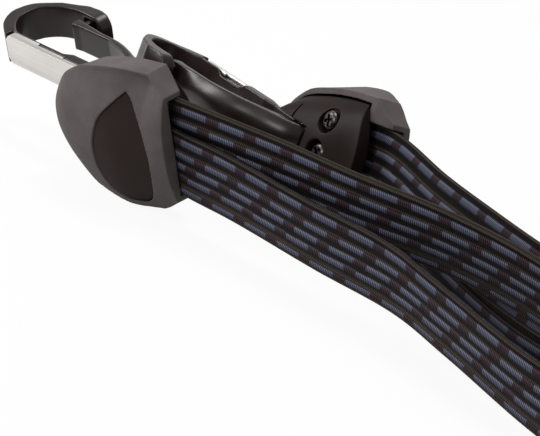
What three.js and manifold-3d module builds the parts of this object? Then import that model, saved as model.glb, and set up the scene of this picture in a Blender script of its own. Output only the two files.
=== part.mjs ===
// Flat woven bungee with two moulded end fittings and gated snap hooks, in millimetres, +Z up.
// Each fitting is built in its own frame: X = 0 at the strap mouth with +X out along the strap,
// Y = 0 at the front of the steel channel with -Y to the fitting's front, and Z across the strap.
import * as THREE from 'three';
import { mergeVertices } from 'three/addons/utils/BufferGeometryUtils.js';
import Module from 'manifold-3d';

const wasm = await Module();
wasm.setup();

// Clearances
const SEAT_GAP = 0.3;
const SLOT_GAP = 0.5;

// Straps
const STRAP_WIDTH = 20;
const STRAP_THICKNESS = 1.8;
const STRAP_EDGE = 0.5;
const STRAP_STEPS = 76;
const STRAP_SET = 3.5;
const MOUTH_OFFSET = 4.2;
const CLAMP_OFFSET = 2.2;
const STRAP_INSET = 23.5;

// Front shell
const SHELL_LENGTH = 45.5;
const SHELL_WIDTH = 41.4;
const SHELL_WALL = 2;
const FRONT_WALL = 4;
const MOUTH_WALL = 1.2;
const MOUTH_INSET = 2;
const APEX_INSET = 9;
const SHELL_RIM = -1;
const DOME_POWER = 3.6;
const DOME_POINTS = 5;

// Leaf-shaped panel in the front
const LEAF_LENGTH = 34;
const LEAF_INSET = 12.4;
const LEAF_NOSE_SIDE = 13;
const LEAF_MOUTH_SIDE = 4.5;
const LEAF_DEPTH = 1.3;
const LEAF_SINK = 0.5;

// Back cover
const COVER_INNER = -1.5;
const COVER_EDGE = 1.6;
const COVER_CROWN = 5;
const COVER_ARCH = 3;
const COVER_INSET = 8;
const COVER_NOSE = 43;

// Cover screws
const SCREW_COUNT = 3;
const SCREW_PITCH = 9.3;
const SCREW_INSET = 19.5;
const SCREW_RADIUS = 1.5;
const SCREW_HEAD_RADIUS = 2.8;
const SCREW_HEAD_HEIGHT = 1.8;
const SCREW_CHAMFER = 0.8;
const SCREW_SEAT = 2.2;
const SCREW_TIP = 11.4;
const SCREW_RECESS = 1;
const RECESS_LENGTH = 3.4;
const RECESS_WIDTH = 0.9;
const POST_WALL = 1;

// Steel channel with its stepped root
const STEEL = 1.2;
const CHANNEL_WIDTH = 8.8;
const FLANGE = 0.9;
const FLANGE_DEPTH = 2.6;
const FLANGE_LOW = 1.7;
const FLANGE_STEP = 12;
const CHANNEL_OUT = 40;
const FLANGE_STOP = 15;
const STEP_INSET = 33;
const ROOT_HALF = 12;
const ROOT_LENGTH = 8;
const STEEL_CORNER = 1.4;

// Nylon hook
const HOOK_REACH = 50.5;
const HOOK_DEPTH = 26.4;
const HOOK_WIDTH = 8.8;
const HOOK_DROP = 1.6;
const LEG_FREE = 44.5;
const LEG_CLEAR = 8;
const LEG_TOP = 3.3;
const NOSE_THICKNESS = 4.5;
const NOSE_BACK = 26.5;
const NOSE_LAP = 6.4;
const LUG_TOP = 4.7;
const LUG_OUT = 14;
const ROOT_TOP = 2.9;
const HOOK_ROOT = 35;
const POCKET_HALF = 3.2;
const POCKET_DEPTH = 2;
const POCKET_LENGTH = 8;
const HOOK_ROUND = 0.6;

// Gate lever with its pin and spring
const PIVOT_INSET = 29;
const PIVOT_DEPTH = 1.6;
const PIN_RADIUS = 1;
const PIN_LENGTH = 19.4;
const KNUCKLE_RADIUS = 2.4;
const GATE_WIDTH = 8.4;
const GATE_FACE = 16.5;
const GATE_THICKNESS = 2.8;
const NIB_HALF = 2.8;
const NIB_HEIGHT = 2;
const NIB_LENGTH = 2.4;
const GATE_ROUND = 0.5;
const SPRING_WIRE = 0.5;
const SPRING_RADIUS = 1.75;
const SPRING_TURNS = 2;
const SPRING_PITCH = 1.05;
const SPRING_STEPS = 8;
const SPRING_LEG = 1.4;

// How the two fittings lie beside each other, in degrees and millimetres
const LEAN_A = 22.6;
const LEAN_B = 9.8;
const LIFT_B = 2.3;
const TURN_B = -9.8;
const PLACE_B = [32.4, 31.4];

// Routes of the straps between the two mouths: [x, y, z, lean], with the first fitting's mouth at x = 0
const UPPER_ROUTE = [
  [32, -3.8, 26.4, 22],
  [61, -2.8, 26.8, 25],
  [94, -1, 27.6, 28],
  [124, -3.2, 26.9, 26],
  [150, -8, 24, 18],
  [175, -14, 17, 12],
  [198, -17, 12, 6],
  [216, -12, 10.5, 4],
  [222, -2, 10.4, 3],
  [215, 8, 10.4, 3],
  [198, 11.5, 11.4, 3],
  [175, 8, 16, 3],
  [150, 3, 21.5, 4],
  [132, 3.4, 23.6, 5],
  [113, 6.8, 24.2, 6],
  [89, 14.8, 24.2, 7],
  [63, 24, 24.4, 8],
];
const LOWER_ROUTE = [
  [18, -4.6, 17.1, 22],
  [53, -6.7, 16.2, 22],
  [83, -8, 15.7, 22],
  [105, -12.4, 13.9, 22],
  [143, -20.8, 10.7, 20],
  [165, -24.5, 10.4, 14],
  [190, -25, 10.4, 8],
  [210, -22, 10.4, 5],
  [224, -12, 10.4, 4],
  [229, -1, 10.4, 3],
  [222.5, 12.5, 10.4, 3],
  [204, 17, 10.4, 3],
  [180, 13.8, 10.4, 3],
  [160, 9.8, 10.4, 3],
  [138, 8.4, 10.4, 4],
  [113, 11.2, 10.5, 5],
  [89, 18.6, 11, 6],
  [63, 27.8, 13, 8],
];

const ROUND = 14;
const CURVE_STEPS = 7;
const CLEAR = 60;

// Values that follow from the sizes above
const strapReach = STRAP_WIDTH / 2 + MOUTH_OFFSET;
const clampReach = STRAP_WIDTH / 2 + CLAMP_OFFSET;
const upperLayer = -STRAP_SET - STRAP_THICKNESS / 2;
const lowerLayer = upperLayer - STRAP_THICKNESS - SEAT_GAP;
const strapFront = lowerLayer - STRAP_THICKNESS / 2;
const mouthHalf = strapReach + SEAT_GAP + MOUTH_WALL;
const screwRow = Array.from({ length: SCREW_COUNT }, (_, i) => (i - (SCREW_COUNT - 1) / 2) * SCREW_PITCH);
const screwHole = SCREW_RADIUS + SEAT_GAP;
const pivot = [-PIVOT_INSET, PIVOT_DEPTH];
const noseX = -SHELL_LENGTH;
const steelEnd = noseX - CHANNEL_OUT;
const hookFar = noseX - HOOK_REACH;
const legFace = STEEL + SEAT_GAP;
const rootBack = -STRAP_SET + SEAT_GAP + STEEL;
const noseInner = HOOK_DEPTH - NOSE_THICKNESS;
const noseEnd = hookFar + NOSE_BACK;
const gateTip = noseEnd - NOSE_LAP;
const gateStop = noseInner - SEAT_GAP;
const springStart = GATE_WIDTH / 2 + SLOT_GAP;
const springSpan = SPRING_TURNS * SPRING_PITCH + SPRING_WIRE;
const earInner = springStart + springSpan + SEAT_GAP;

// Stations along the shell: [x, rim half, rim, ridge half, ridge, front], from the nose to the apex of
// the shoulders, and from there to the mouth.
const widest = SHELL_WIDTH / 2;
const noseStations = [
  [noseX, widest - 15.7, SHELL_RIM - 0.4, widest - 14.9, -9.4, -12],
  [noseX + 1.6, widest - 13.1, SHELL_RIM - 0.2, widest - 12, -11.4, -14.6],
  [noseX + 6.8, widest - 8.2, SHELL_RIM, widest - 6.9, -12.7, -16.2],
  [noseX + 14.5, widest - 5, SHELL_RIM, widest - 2.3, -12.6, -16.4],
  [noseX + 25, widest - 2.1, SHELL_RIM, widest, -11.6, -16],
  [-APEX_INSET, widest - 0.1, SHELL_RIM, widest - 0.3, -8.6, -13.2],
];
const mouthStations = [
  noseStations[noseStations.length - 1],
  [-MOUTH_INSET - 4.5, widest - 2.3, -1.6, widest - 1.7, -8.5, -12.2],
  [-MOUTH_INSET - 2, widest - 4.3, -2.4, widest - 3.5, -8.4, -11],
  [-MOUTH_INSET, mouthHalf, -STRAP_SET + SEAT_GAP, mouthHalf, strapFront - MOUTH_WALL, strapFront - 2.4],
];

const finishes = {
  shell: new THREE.MeshStandardMaterial({ color: 0x2b2c2e, roughness: 0.75, metalness: 0 }),
  panel: new THREE.MeshStandardMaterial({ color: 0x1c1d1f, roughness: 0.6, metalness: 0 }),
  cover: new THREE.MeshStandardMaterial({ color: 0x202123, roughness: 0.5, metalness: 0 }),
  screw: new THREE.MeshStandardMaterial({ color: 0x151515, roughness: 0.35, metalness: 0.8 }),
  nylon: new THREE.MeshStandardMaterial({ color: 0x121214, roughness: 0.3, metalness: 0 }),
  steel: new THREE.MeshStandardMaterial({ color: 0xb9b6ae, roughness: 0.3, metalness: 1 }),
  strap: new THREE.MeshStandardMaterial({ color: 0x23262e, roughness: 0.9, metalness: 0 }),
};

// A closed geometry as a solid for joining and cutting.
function solid(geometry) {
  const bare = geometry.clone();
  bare.deleteAttribute('normal');
  bare.deleteAttribute('uv');
  const merged = mergeVertices(bare, 1e-4);
  const vertProperties = new Float32Array(merged.attributes.position.array);
  const triVerts = new Uint32Array(merged.index.array);
  return new wasm.Manifold(new wasm.Mesh({ numProp: 3, vertProperties, triVerts }));
}

// A solid back as a geometry.
function geometryOf(body) {
  const mesh = body.getMesh();
  const geometry = new THREE.BufferGeometry();
  geometry.setAttribute('position', new THREE.BufferAttribute(new Float32Array(mesh.vertProperties), 3));
  geometry.setIndex(new THREE.BufferAttribute(new Uint32Array(mesh.triVerts), 1));
  geometry.computeVertexNormals();
  return geometry;
}

function box(x0, x1, y0, y1, z0, z1) {
  const geometry = new THREE.BoxGeometry(x1 - x0, y1 - y0, z1 - z0);
  geometry.translate((x0 + x1) / 2, (y0 + y1) / 2, (z0 + z1) / 2);
  return solid(geometry);
}

// A round bar along Y, from y0 to y1.
function barY(x, z, radius, y0, y1) {
  const geometry = new THREE.CylinderGeometry(radius, radius, y1 - y0, ROUND);
  geometry.translate(x, (y0 + y1) / 2, z);
  return solid(geometry);
}

// A round bar along Z, from z0 to z1.
function barZ(x, y, radius, z0, z1) {
  const geometry = new THREE.CylinderGeometry(radius, radius, z1 - z0, ROUND);
  geometry.rotateX(Math.PI / 2);
  geometry.translate(x, y, (z0 + z1) / 2);
  return solid(geometry);
}

// A flat outline in X and Z, raised along Y.
function raiseY(shape, y0, y1) {
  const options = { depth: y1 - y0, bevelEnabled: false, curveSegments: CURVE_STEPS };
  const geometry = new THREE.ExtrudeGeometry(shape, options);
  geometry.rotateX(-Math.PI / 2);
  geometry.translate(0, y0, 0);
  return solid(geometry);
}

// A profile in X and Y, as wide as given along Z, with its side edges rounded off.
function raiseZ(shape, width, edge) {
  const options = {
    depth: width - 2 * edge,
    bevelEnabled: edge > 0,
    bevelThickness: edge,
    bevelSize: edge,
    bevelOffset: -edge,
    bevelSegments: 1,
    curveSegments: CURVE_STEPS,
  };
  const geometry = new THREE.ExtrudeGeometry(shape, options);
  geometry.translate(0, 0, edge - width / 2);
  return solid(geometry);
}

function outline(points) {
  return new THREE.Shape(points.map(([x, y]) => new THREE.Vector2(x, y)));
}

// The shell's stations, smoothed on each side of the apex.
function smoothStations() {
  const side = (rows, steps) => {
    const first = new THREE.CatmullRomCurve3(rows.map((r) => new THREE.Vector3(r[0], r[1], r[2])));
    const second = new THREE.CatmullRomCurve3(rows.map((r) => new THREE.Vector3(r[3], r[4], r[5])));
    return Array.from({ length: steps + 1 }, (_, i) => {
      const a = first.getPoint(i / steps);
      const b = second.getPoint(i / steps);
      return { x: a.x, rimHalf: a.y, rim: a.z, ridgeHalf: b.x, ridge: b.y, front: b.z };
    });
  };
  return [...side(noseStations, 10), ...side(mouthStations, 4).slice(1)];
}

const shellRows = smoothStations();

// The shell's station at any x.
function stationAt(x) {
  let i = 0;
  while (i < shellRows.length - 2 && shellRows[i + 1].x < x) i += 1;
  const [a, b] = [shellRows[i], shellRows[i + 1]];
  const share = (x - a.x) / (b.x - a.x);
  return Object.fromEntries(Object.keys(a).map((key) => [key, a[key] + (b[key] - a[key]) * share]));
}

// The shell's stations from one x to another.
function stationSpan(from, to) {
  const between = shellRows.filter((s) => s.x > from + SLOT_GAP && s.x < to - SLOT_GAP);
  return [stationAt(from), ...between, stationAt(to)];
}

// A solid swept along X: each corner of the section is placed by its own u, v and station.
function loftX(section, stations, place) {
  const steps = stations.length - 1;
  const geometry = new THREE.ExtrudeGeometry(outline(section), { depth: 1, steps, bevelEnabled: false });
  const at = geometry.attributes.position;
  for (let i = 0; i < at.count; i += 1) {
    const station = stations[Math.round(at.getZ(i) * steps)];
    const [y, z] = place(at.getX(i), at.getY(i), station);
    at.setXYZ(i, station.x, y, z);
  }
  return solid(geometry);
}

// Corners of an arched section, from u = -1 to 1, with its crown at v = 2 and its feet at v = 0.
function archSection(points, power) {
  const arch = Array.from({ length: 2 * points + 1 }, (_, i) => i / points - 1);
  return [[-1, 0], ...arch.map((u) => [u, 2 - Math.abs(u) ** power]), [1, 0]];
}

// The dome of the front shell: rim, side, shoulder ridge and a full front; set in by a wall if wanted.
function domeSolid(stations, wall, sink, top) {
  return loftX(archSection(DOME_POINTS, DOME_POWER), stations, (u, v, s) => {
    if (v < 1) return [s.rim + top, u * (s.rimHalf - wall)];
    return [s.ridge + (s.front + sink - s.ridge) * (v - 1), u * (s.ridgeHalf - wall)];
  });
}

function leafOutline(inset) {
  const tip = LEAF_LENGTH / 2 - 2 * inset;
  const shape = new THREE.Shape();
  shape.moveTo(-LEAF_INSET, -tip);
  shape.quadraticCurveTo(-LEAF_INSET + 2 * (LEAF_MOUTH_SIDE - inset), 0, -LEAF_INSET, tip);
  shape.quadraticCurveTo(-LEAF_INSET - 2 * (LEAF_NOSE_SIDE - inset), 0, -LEAF_INSET, -tip);
  return shape;
}

function frontShell() {
  const spread = (strapReach - clampReach) / STRAP_INSET;
  const slotHalf = strapReach + SEAT_GAP;
  const strapSlot = outline([
    [-STRAP_INSET - SLOT_GAP, clampReach + SEAT_GAP],
    [SHELL_LENGTH, slotHalf + SHELL_LENGTH * spread],
    [SHELL_LENGTH, -slotHalf - SHELL_LENGTH * spread],
    [-STRAP_INSET - SLOT_GAP, -clampReach - SEAT_GAP],
  ]);
  const hollow = stationSpan(-COVER_NOSE - SEAT_GAP, -MOUTH_INSET - 5);
  const leafFloor = domeSolid(shellRows, 0, LEAF_SINK + LEAF_DEPTH + SEAT_GAP, 0);
  const leafCut = raiseY(leafOutline(0), -CLEAR, -STRAP_SET).subtract(leafFloor);
  const whole = domeSolid(shellRows, 0, 0, 0);
  let body = whole.subtract(domeSolid(hollow, SHELL_WALL, FRONT_WALL, SLOT_GAP));
  for (const z of screwRow) {
    const post = barY(-SCREW_INSET, z, screwHole + POST_WALL, -CLEAR, strapFront - SEAT_GAP);
    body = body.add(post.intersect(whole));
  }
  body = body.subtract(raiseY(strapSlot, strapFront - SEAT_GAP, CLEAR)).subtract(leafCut);
  for (const z of screwRow) {
    body = body.subtract(barY(-SCREW_INSET, z, screwHole, -SCREW_TIP - SEAT_GAP, CLEAR));
  }
  return geometryOf(body);
}

function insetPanel() {
  const plate = raiseY(leafOutline(SEAT_GAP), -CLEAR, -STRAP_SET);
  const face = domeSolid(shellRows, 0, LEAF_SINK, 0);
  const floor = domeSolid(shellRows, 0, LEAF_SINK + LEAF_DEPTH, 0);
  return geometryOf(plate.intersect(face).subtract(floor));
}

function backCover() {
  const section = archSection(DOME_POINTS, COVER_ARCH);
  let body = loftX(section, stationSpan(-COVER_NOSE, -COVER_INSET), (u, v, s) => {
    const y = v < 1 ? COVER_INNER : s.rim + COVER_EDGE + COVER_CROWN * (v - 1);
    return [y, -u * (s.rimHalf - SHELL_WALL - SEAT_GAP)];
  });
  const slot = GATE_WIDTH / 2 + SLOT_GAP;
  const pocketX = KNUCKLE_RADIUS + SLOT_GAP;
  const pocketTop = PIVOT_DEPTH + SPRING_RADIUS + SPRING_WIRE / 2 + SEAT_GAP;
  const pinHalf = PIN_LENGTH / 2 + SEAT_GAP;
  body = body
    .subtract(box(-CLEAR, -PIVOT_INSET + pocketX, -CLEAR, CLEAR, -slot, slot))
    .subtract(box(-PIVOT_INSET - pocketX, -PIVOT_INSET + pocketX, -CLEAR, pocketTop, -earInner, earInner))
    .subtract(barZ(...pivot, PIN_RADIUS + SEAT_GAP, -pinHalf, pinHalf));
  for (const z of screwRow) {
    body = body
      .subtract(barY(-SCREW_INSET, z, screwHole, -CLEAR, CLEAR))
      .subtract(barY(-SCREW_INSET, z, SCREW_HEAD_RADIUS + SEAT_GAP, SCREW_SEAT, CLEAR));
  }
  return geometryOf(body);
}

function coverScrew() {
  const seat = SCREW_SEAT + SEAT_GAP;
  const top = seat + SCREW_HEAD_HEIGHT;
  const profile = [
    [0, -SCREW_TIP],
    [SCREW_RADIUS / 2, -SCREW_TIP],
    [SCREW_RADIUS, -SCREW_TIP + SCREW_RADIUS],
    [SCREW_RADIUS, seat],
    [SCREW_HEAD_RADIUS, seat],
    [SCREW_HEAD_RADIUS, top - SCREW_CHAMFER],
    [SCREW_HEAD_RADIUS - SCREW_CHAMFER, top],
    [0, top],
  ].map(([r, y]) => new THREE.Vector2(r, y));
  let body = solid(new THREE.LatheGeometry(profile, ROUND));
  const long = RECESS_LENGTH / 2;
  const narrow = RECESS_WIDTH / 2;
  body = body
    .subtract(box(-long, long, top - SCREW_RECESS, CLEAR, -narrow, narrow))
    .subtract(box(-narrow, narrow, top - SCREW_RECESS, CLEAR, -long, long));
  return geometryOf(body);
}

// The strip on the outside of the leg steps forward inside the shell to its clamped root.
function steelChannel() {
  const half = CHANNEL_WIDTH / 2;
  const rootEnd = -STRAP_INSET + ROOT_LENGTH;
  const strip = outline([
    [steelEnd, half - STEEL_CORNER],
    [steelEnd + STEEL_CORNER, half],
    [-STEP_INSET, half],
    [-STEP_INSET, -half],
    [steelEnd + STEEL_CORNER, -half],
    [steelEnd, -half + STEEL_CORNER],
  ]);
  const root = outline([
    [-STEP_INSET - STEEL, half],
    [-STRAP_INSET, half],
    [-STRAP_INSET, ROOT_HALF],
    [rootEnd, ROOT_HALF],
    [rootEnd, -ROOT_HALF],
    [-STRAP_INSET, -ROOT_HALF],
    [-STRAP_INSET, -half],
    [-STEP_INSET - STEEL, -half],
  ]);
  let body = raiseY(strip, 0, STEEL)
    .add(raiseY(root, rootBack - STEEL, rootBack))
    .add(box(-STEP_INSET - STEEL, -STEP_INSET, rootBack - STEEL, STEEL, -half, half));
  for (const side of [-1, 1]) {
    const low = Math.min(side * half, side * (half - FLANGE));
    const stop = noseX - FLANGE_STOP;
    body = body
      .add(box(steelEnd + STEEL_CORNER, stop, 0, FLANGE_LOW, low, low + FLANGE))
      .add(box(steelEnd + STEEL_CORNER, stop - FLANGE_STEP, 0, FLANGE_DEPTH, low, low + FLANGE));
  }
  for (const z of screwRow) {
    body = body.subtract(barY(-SCREW_INSET, z, screwHole, -CLEAR, CLEAR));
  }
  return geometryOf(body);
}

// Points along a smooth line through hand-chosen places, each measured from the given corner.
function smoothLine(places, x0, y0, count) {
  const spots = places.map(([x, y]) => new THREE.Vector2(x0 + x, y0 + y));
  return new THREE.SplineCurve(spots).getPoints(count).map((p) => [p.x, p.y]);
}

function hookProfile() {
  const bend = HOOK_REACH - CHANNEL_OUT;
  const outside = [
    [bend - SEAT_GAP, 0.1],
    [0.4 * bend, 0.38 * bend],
    [0.076 * bend, 8.4],
    [0, 12.4],
    [1.6, 17.4],
    [8, 22.8],
  ];
  const round = [[8, -3.6], [13.6, -1.5], [17, -0.2], [NOSE_BACK - 3.9, 0], [NOSE_BACK, -0.4]];
  const inside = [[NOSE_BACK, 0], [17.6, 0.4], [13.6, -0.1], [9.4, -1.4], [6.4, -3.6], [4.9, -5.5]];
  const heel = [
    [4.9, 16.4],
    [4.4, 13.6],
    [4.9, 9.7],
    [0.724 * bend, 6.2],
    [1.086 * bend, LEG_TOP + 0.4],
    [1.43 * bend, LEG_TOP],
  ];
  const shoulder = steelEnd - SEAT_GAP;
  return outline([
    [-HOOK_ROOT, legFace],
    [shoulder, legFace],
    ...smoothLine(outside, hookFar, 0, 2 * CURVE_STEPS),
    ...smoothLine(round, hookFar, HOOK_DEPTH, CURVE_STEPS).slice(1),
    ...smoothLine(inside, hookFar, noseInner, CURVE_STEPS),
    ...smoothLine(heel, hookFar, 0, 2 * CURVE_STEPS).slice(1),
    [noseX - LUG_OUT - 3, LEG_TOP],
    [noseX - LUG_OUT, LUG_TOP],
    [noseX - 3, LUG_TOP],
    [noseX, ROOT_TOP],
    [-HOOK_ROOT, ROOT_TOP],
  ]);
}

function hookBody() {
  const inside = CHANNEL_WIDTH / 2 - FLANGE - SEAT_GAP;
  const shoulder = steelEnd - SEAT_GAP;
  const bottom = -HOOK_WIDTH / 2;
  let body = raiseZ(hookProfile(), HOOK_WIDTH + HOOK_DROP, HOOK_ROUND)
    .translate([0, 0, -HOOK_DROP / 2])
    .subtract(box(noseX - LEG_FREE, CLEAR, -CLEAR, LEG_CLEAR, bottom - CLEAR, bottom));
  for (const side of [-1, 1]) {
    const low = Math.min(side * inside, side * HOOK_WIDTH);
    const high = Math.max(side * inside, side * HOOK_WIDTH);
    const stop = noseX - FLANGE_STOP + SEAT_GAP;
    body = body.subtract(box(shoulder, stop, -STEEL, FLANGE_DEPTH + SEAT_GAP, low, high));
  }
  const pocketBack = noseInner + POCKET_DEPTH;
  const pocket = box(noseEnd - POCKET_LENGTH, CLEAR, 0, pocketBack, -POCKET_HALF, POCKET_HALF);
  const mouthOnly = box(noseEnd - POCKET_LENGTH, CLEAR, noseInner - 2, CLEAR, -POCKET_HALF, POCKET_HALF);
  return geometryOf(body.subtract(pocket.intersect(mouthOnly)));
}

function gateProfile() {
  const [px, py] = pivot;
  const bow = GATE_FACE - py;
  const run = gateTip - px;
  const inner = [
    [-2.2, 1],
    [0.171 * run, 5],
    [0.288 * run, bow - 6.1],
    [0.394 * run, bow - 3.3],
    [0.501 * run, bow - 1.5],
    [0.64 * run, bow],
  ];
  const outer = [
    [0.725 * run, bow],
    [0.554 * run, bow - 0.4],
    [0.394 * run, bow - 2.5],
    [0.235 * run, bow - 6.6],
    [0.085 * run, 5],
    [1.6, 2.6],
  ];
  return outline([
    ...smoothLine(inner, px, py, 2 * CURVE_STEPS),
    [gateTip + 3.4, GATE_FACE],
    [gateTip + 0.6, GATE_FACE - 0.4],
    [gateTip, GATE_FACE + 0.4],
    [gateTip, GATE_FACE + GATE_THICKNESS],
    ...smoothLine(outer, px, py + GATE_THICKNESS, 2 * CURVE_STEPS).slice(0, -1),
    [px + 1.6, py + 1],
  ]);
}

function gateLever() {
  const nibEnd = gateTip + NIB_LENGTH;
  const body = raiseZ(gateProfile(), GATE_WIDTH, GATE_ROUND)
    .add(barZ(...pivot, KNUCKLE_RADIUS, -GATE_WIDTH / 2, GATE_WIDTH / 2))
    .add(box(gateTip + GATE_ROUND, nibEnd, GATE_FACE + 1, gateStop + NIB_HEIGHT, -NIB_HALF, NIB_HALF))
    .subtract(barZ(...pivot, PIN_RADIUS + SEAT_GAP, -PIN_LENGTH, PIN_LENGTH));
  return geometryOf(body);
}

function gatePin() {
  return geometryOf(barZ(...pivot, PIN_RADIUS, -PIN_LENGTH / 2, PIN_LENGTH / 2));
}

// A torsion spring round the pin, beside the lever's knuckle.
function gateSpring() {
  const count = SPRING_TURNS * SPRING_STEPS;
  const points = Array.from({ length: count + 1 }, (_, i) => {
    const turn = (i / SPRING_STEPS) * 2 * Math.PI;
    const z = springStart + SPRING_WIRE / 2 + (i / SPRING_STEPS) * SPRING_PITCH;
    const x = pivot[0] + SPRING_RADIUS * Math.cos(turn);
    return new THREE.Vector3(x, pivot[1] + SPRING_RADIUS * Math.sin(turn), z);
  });
  const end = points[count];
  points.push(new THREE.Vector3(end.x, end.y - SPRING_LEG, end.z));
  const wire = new THREE.Shape().absarc(0, 0, SPRING_WIRE / 2, 0, 2 * Math.PI);
  const path = new THREE.CatmullRomCurve3(points);
  const options = { steps: points.length * 2, extrudePath: path, curveSegments: 3, bevelEnabled: false };
  return new THREE.ExtrudeGeometry(wire, options);
}

function mesh(name, geometry, material) {
  const made = new THREE.Mesh(geometry, material);
  made.name = name;
  return made;
}

function endFitting(letter) {
  const group = new THREE.Group();
  group.add(mesh(`front_shell_${letter}`, frontShell(), finishes.shell));
  group.add(mesh(`inset_panel_${letter}`, insetPanel(), finishes.panel));
  group.add(mesh(`back_cover_${letter}`, backCover(), finishes.cover));
  screwRow.forEach((z, i) => {
    const screw = mesh(`cover_screw_${letter}${i + 1}`, coverScrew(), finishes.screw);
    screw.position.set(-SCREW_INSET, 0, z);
    group.add(screw);
  });
  group.add(mesh(`steel_channel_${letter}`, steelChannel(), finishes.steel));
  group.add(mesh(`hook_body_${letter}`, hookBody(), finishes.nylon));
  group.add(mesh(`gate_lever_${letter}`, gateLever(), finishes.nylon));
  group.add(mesh(`gate_pin_${letter}`, gatePin(), finishes.steel));
  group.add(mesh(`gate_spring_${letter}`, gateSpring(), finishes.steel));
  return group;
}

const degrees = Math.PI / 180;
const bungee = new THREE.Group();
const endA = endFitting('a');
endA.rotation.x = LEAN_A * degrees;
const endB = endFitting('b');
endB.rotation.set(Math.PI - LEAN_B * degrees, LIFT_B * degrees, TURN_B * degrees, 'ZYX');
endB.position.set(...PLACE_B, 0);

// Both fittings stand on z = 0, and the origin is in the middle below them.
const ends = [endA, endB];
const around = new THREE.Box3();
for (const end of ends) {
  end.updateMatrixWorld(true);
  end.position.z -= new THREE.Box3().setFromObject(end, true).min.z;
  end.updateMatrixWorld(true);
  around.expandByObject(end, true);
}
const middle = around.getCenter(new THREE.Vector3()).setZ(0);
for (const end of ends) {
  end.position.sub(middle);
  end.updateMatrixWorld(true);
  bungee.add(end);
}

// Places of a strap inside a fitting, from its clamped end to the mouth.
function strapSeat(end, layer, side, lean) {
  const seats = [
    [-STRAP_INSET, CLAMP_OFFSET],
    [-STRAP_INSET / 2, (CLAMP_OFFSET + MOUTH_OFFSET) / 2],
    [0, MOUTH_OFFSET],
  ];
  return seats.map(([x, across]) => {
    const spot = new THREE.Vector3(x, layer, side * across).applyMatrix4(end.matrixWorld);
    return { spot, lean };
  });
}

// The round holes for the cover screws, where a fitting clamps its straps.
function screwBars(end) {
  const bars = screwRow.map((z) => barY(-SCREW_INSET, z, screwHole, strapFront - 1, -STRAP_SET + 1));
  return bars.map((bar) => solid(geometryOf(bar).applyMatrix4(end.matrixWorld)));
}

// The strap's flat section with its corners taken off.
function strapSection() {
  const [a, b] = [STRAP_WIDTH / 2, STRAP_THICKNESS / 2];
  const quarter = [[a, b - STRAP_EDGE], [a - STRAP_EDGE, b]];
  const half = [...quarter, ...quarter.map(([u, v]) => [-u, v]).reverse()];
  return [...half, ...half.map(([u, v]) => [-u, -v])];
}

// A flat strap along its route, with its width leaning by the given angle about its own run.
function strap(route, layer) {
  const free = route.map(([x, y, z, lean]) => ({ spot: new THREE.Vector3(x, y, z).sub(middle), lean }));
  const seats = [
    ...strapSeat(endA, layer, layer === upperLayer ? 1 : -1, LEAN_A),
    ...free,
    ...strapSeat(endB, layer, layer === upperLayer ? -1 : 1, LEAN_B).reverse(),
  ];
  const run = new THREE.CatmullRomCurve3(seats.map((seat) => seat.spot));
  const leans = new THREE.CatmullRomCurve3(seats.map((seat) => new THREE.Vector3(seat.lean, 0, 0)));
  const options = { depth: 1, steps: STRAP_STEPS, bevelEnabled: false };
  const geometry = new THREE.ExtrudeGeometry(outline(strapSection()), options);
  const at = geometry.attributes.position;
  for (let i = 0; i < at.count; i += 1) {
    const t = run.getUtoTmapping(Math.min(1, Math.max(0, at.getZ(i))));
    const along = run.getTangent(t);
    const up = new THREE.Vector3(0, 0, 1).addScaledVector(along, -along.z).normalize();
    const side = new THREE.Vector3().crossVectors(along, up);
    const lean = leans.getPoint(t).x * degrees;
    const across = up.multiplyScalar(Math.cos(lean)).addScaledVector(side, Math.sin(lean));
    const face = new THREE.Vector3().crossVectors(along, across);
    const spot = run.getPoint(t).addScaledVector(across, at.getX(i)).addScaledVector(face, at.getY(i));
    at.setXYZ(i, spot.x, spot.y, spot.z);
  }
  let body = solid(geometry);
  for (const end of ends) {
    for (const bar of screwBars(end)) body = body.subtract(bar);
  }
  return geometryOf(body);
}

bungee.add(mesh('strap_upper', strap(UPPER_ROUTE, upperLayer), finishes.strap));
bungee.add(mesh('strap_lower', strap(LOWER_ROUTE, lowerLayer), finishes.strap));

export default bungee;
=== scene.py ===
import math

import bpy
import numpy as np
from mathutils import Matrix, Vector


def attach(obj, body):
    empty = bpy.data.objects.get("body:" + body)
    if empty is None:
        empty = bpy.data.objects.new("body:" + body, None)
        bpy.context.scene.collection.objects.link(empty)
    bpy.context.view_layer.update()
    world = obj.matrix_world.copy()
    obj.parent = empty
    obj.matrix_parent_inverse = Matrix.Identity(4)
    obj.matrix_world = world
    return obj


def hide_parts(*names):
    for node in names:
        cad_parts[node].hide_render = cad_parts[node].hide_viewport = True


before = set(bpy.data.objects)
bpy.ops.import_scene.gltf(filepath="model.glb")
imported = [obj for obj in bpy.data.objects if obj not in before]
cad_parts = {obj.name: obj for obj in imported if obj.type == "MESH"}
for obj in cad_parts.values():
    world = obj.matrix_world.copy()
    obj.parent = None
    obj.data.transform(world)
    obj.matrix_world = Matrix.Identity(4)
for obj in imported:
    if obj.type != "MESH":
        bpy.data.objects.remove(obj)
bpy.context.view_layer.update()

MM = 0.001

# How the two fittings lie, in degrees and millimetres, as in the part's source
LEAN_A = 22.6
LEAN_B = 9.8
LIFT_B = 2.3
TURN_B = -9.8
SEAT_A = (31.5762, -17.5372, 23.5683)
SEAT_B = (63.9762, 13.8628, 21.601)
ROUTE_SHIFT = (*SEAT_A[:2], 0)

# Sizes that the fitting's pieces share, in millimetres
GAP = 0.3
CLEAR = 60
STRAP_WIDTH = 20
STRAP_THICKNESS = 1.8
STRAP_FRONT = -7.4
STEEL_END = -85.5
NOSE_INNER = 21.9
PIVOT = (-29, 1.6)
GATE_FACE = 16.5
GATE_STOP = 21.6
SCREW_X = -19.5
SCREW_PITCH = 9.3
SCREW_SEAT = 2.2

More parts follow.
